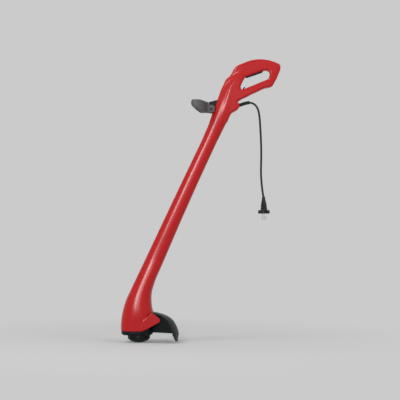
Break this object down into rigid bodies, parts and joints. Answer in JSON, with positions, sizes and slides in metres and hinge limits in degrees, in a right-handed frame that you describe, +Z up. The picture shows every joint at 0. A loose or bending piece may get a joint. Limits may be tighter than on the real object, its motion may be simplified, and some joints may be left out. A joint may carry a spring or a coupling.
{
  "type": "string trimmer",
  "caption": "Slim corded string trimmer with a slanted shaft, loop handle, tilting front bow handle, bump-feed line head, rear guard and a short mains lead with plug.",
  "frame": {"origin": "centre of the rear grip, in the upper bar of the loop handle", "axes": "+Z up along the spool spindle, +X towards the operator, +Y to the operator's right"},
  "size_m": [0.5107, 0.128, 0.904],
  "materials": {
    "red_plastic": "glossy moulded red",
    "grey_plastic": "satin moulded dark grey",
    "black_plastic": "fine-textured moulded black",
    "steel": "zinc plated",
    "black_steel": "blackened bolt",
    "lamination": "stamped electrical steel, edges showing",
    "copper": "enamelled copper",
    "bronze": "sintered bronze",
    "die_cast": "die cast",
    "carbon": "pressed graphite",
    "worn_black_plastic": "moulded black, worn at the knob",
    "line_nylon": "extruded nylon line",
    "white_plastic": "moulded off-white",
    "capacitor_film": "dipped box",
    "lead_brown": "flexible insulation",
    "lead_blue": "flexible insulation",
    "cord_rubber": "satin black rubber",
    "plug_brass": "nickel plated"
  },
  "bodies": {
    "housing": {"left_housing": "red_plastic", "right_housing": "red_plastic", "housing_screws": "steel", "stator_core": "lamination", "field_coils": "copper", "lower_bracket": "die_cast", "upper_bracket": "die_cast", "motor_screws": "steel", "lower_bearing": "steel", "upper_bush": "bronze", "brush_holders": "black_plastic", "carbon_brushes": "carbon", "brush_springs": "steel", "guard": "black_plastic", "guard_screws": "black_steel", "line_cutter": "steel", "cutter_screw": "steel", "handle_bracket": "black_plastic", "handle_bolt": "black_steel", "trigger_pin": "steel", "trigger_spring": "steel", "switch_body": "black_plastic", "motor_lead_brown": "lead_brown", "motor_lead_blue": "lead_blue", "capacitor": "capacitor_film", "terminal_block": "white_plastic", "mains_lead": "cord_rubber", "cable_clamp": "black_plastic", "clamp_screws": "steel", "cord_hook": "black_plastic", "cable_sleeve": "cord_rubber", "power_cord": "cord_rubber", "plug_body": "cord_rubber", "plug_pins": "plug_brass"},
    "spool_head": {"motor_shaft": "steel", "armature_core": "lamination", "armature_windings": "copper", "commutator": "copper", "cooling_fan": "black_plastic", "spool_housing": "black_plastic", "spool_cover": "black_plastic", "drive_nut": "steel", "line_eyelets": "black_steel", "cutting_line": "line_nylon", "spool_spring": "steel"},
    "feed_slide": {"spring_washer": "steel"},
    "line_reel": {"line_reel": "worn_black_plastic", "wound_line": "line_nylon"},
    "front_handle": {"front_handle": "grey_plastic"},
    "clamp_knob": {"clamp_knob": "black_plastic"},
    "trigger": {"trigger": "black_plastic"},
    "switch_plunger": {"switch_plunger": "white_plastic"}
  },
  "joints": [
    {"name": "spool_spin", "type": "hinge", "parent": "housing", "child": "spool_head", "pos_m": [-0.3715, 0, -0.863], "axis": [0, 0, 1], "continuous": true},
    {"name": "bump_feed", "type": "slide", "parent": "spool_head", "child": "feed_slide", "axis": [0, 0, 1], "range_m": [0, 0.005], "stiffness_N_per_m": 2400, "springref_m": -0.004, "deforming": ["spool_spring"]},
    {"name": "reel_turn", "type": "hinge", "parent": "feed_slide", "child": "line_reel", "pos_m": [-0.3715, 0, -0.868], "axis": [0, 0, 1], "continuous": true},
    {"name": "handle_tilt", "type": "hinge", "parent": "housing", "child": "front_handle", "pos_m": [-0.1405, 0, -0.138], "axis": [0, 1, 0], "range_deg": [-30, 30]},
    {"name": "clamp_turn", "type": "hinge", "parent": "housing", "child": "clamp_knob", "pos_m": [-0.1405, 0.025, -0.138], "axis": [0, 1, 0], "range_deg": [0, 720]},
    {"name": "trigger_pull", "type": "hinge", "parent": "housing", "child": "trigger", "pos_m": [-0.0255, 0, -0.025], "axis": [0, -1, 0], "range_deg": [0, 6], "stiffness_Nm_per_rad": 1.5, "springref_deg": -14.32, "deforming": ["trigger_spring"]},
    {"name": "plunger_slide", "type": "slide", "parent": "housing", "child": "switch_plunger", "axis": [0, 0, 1], "range_m": [0, 0.0024]}
  ],
  "couplings": [
    {"joint": "plunger_slide", "follows": "trigger_pull", "m_per_rad": 0.0215}
  ]
}
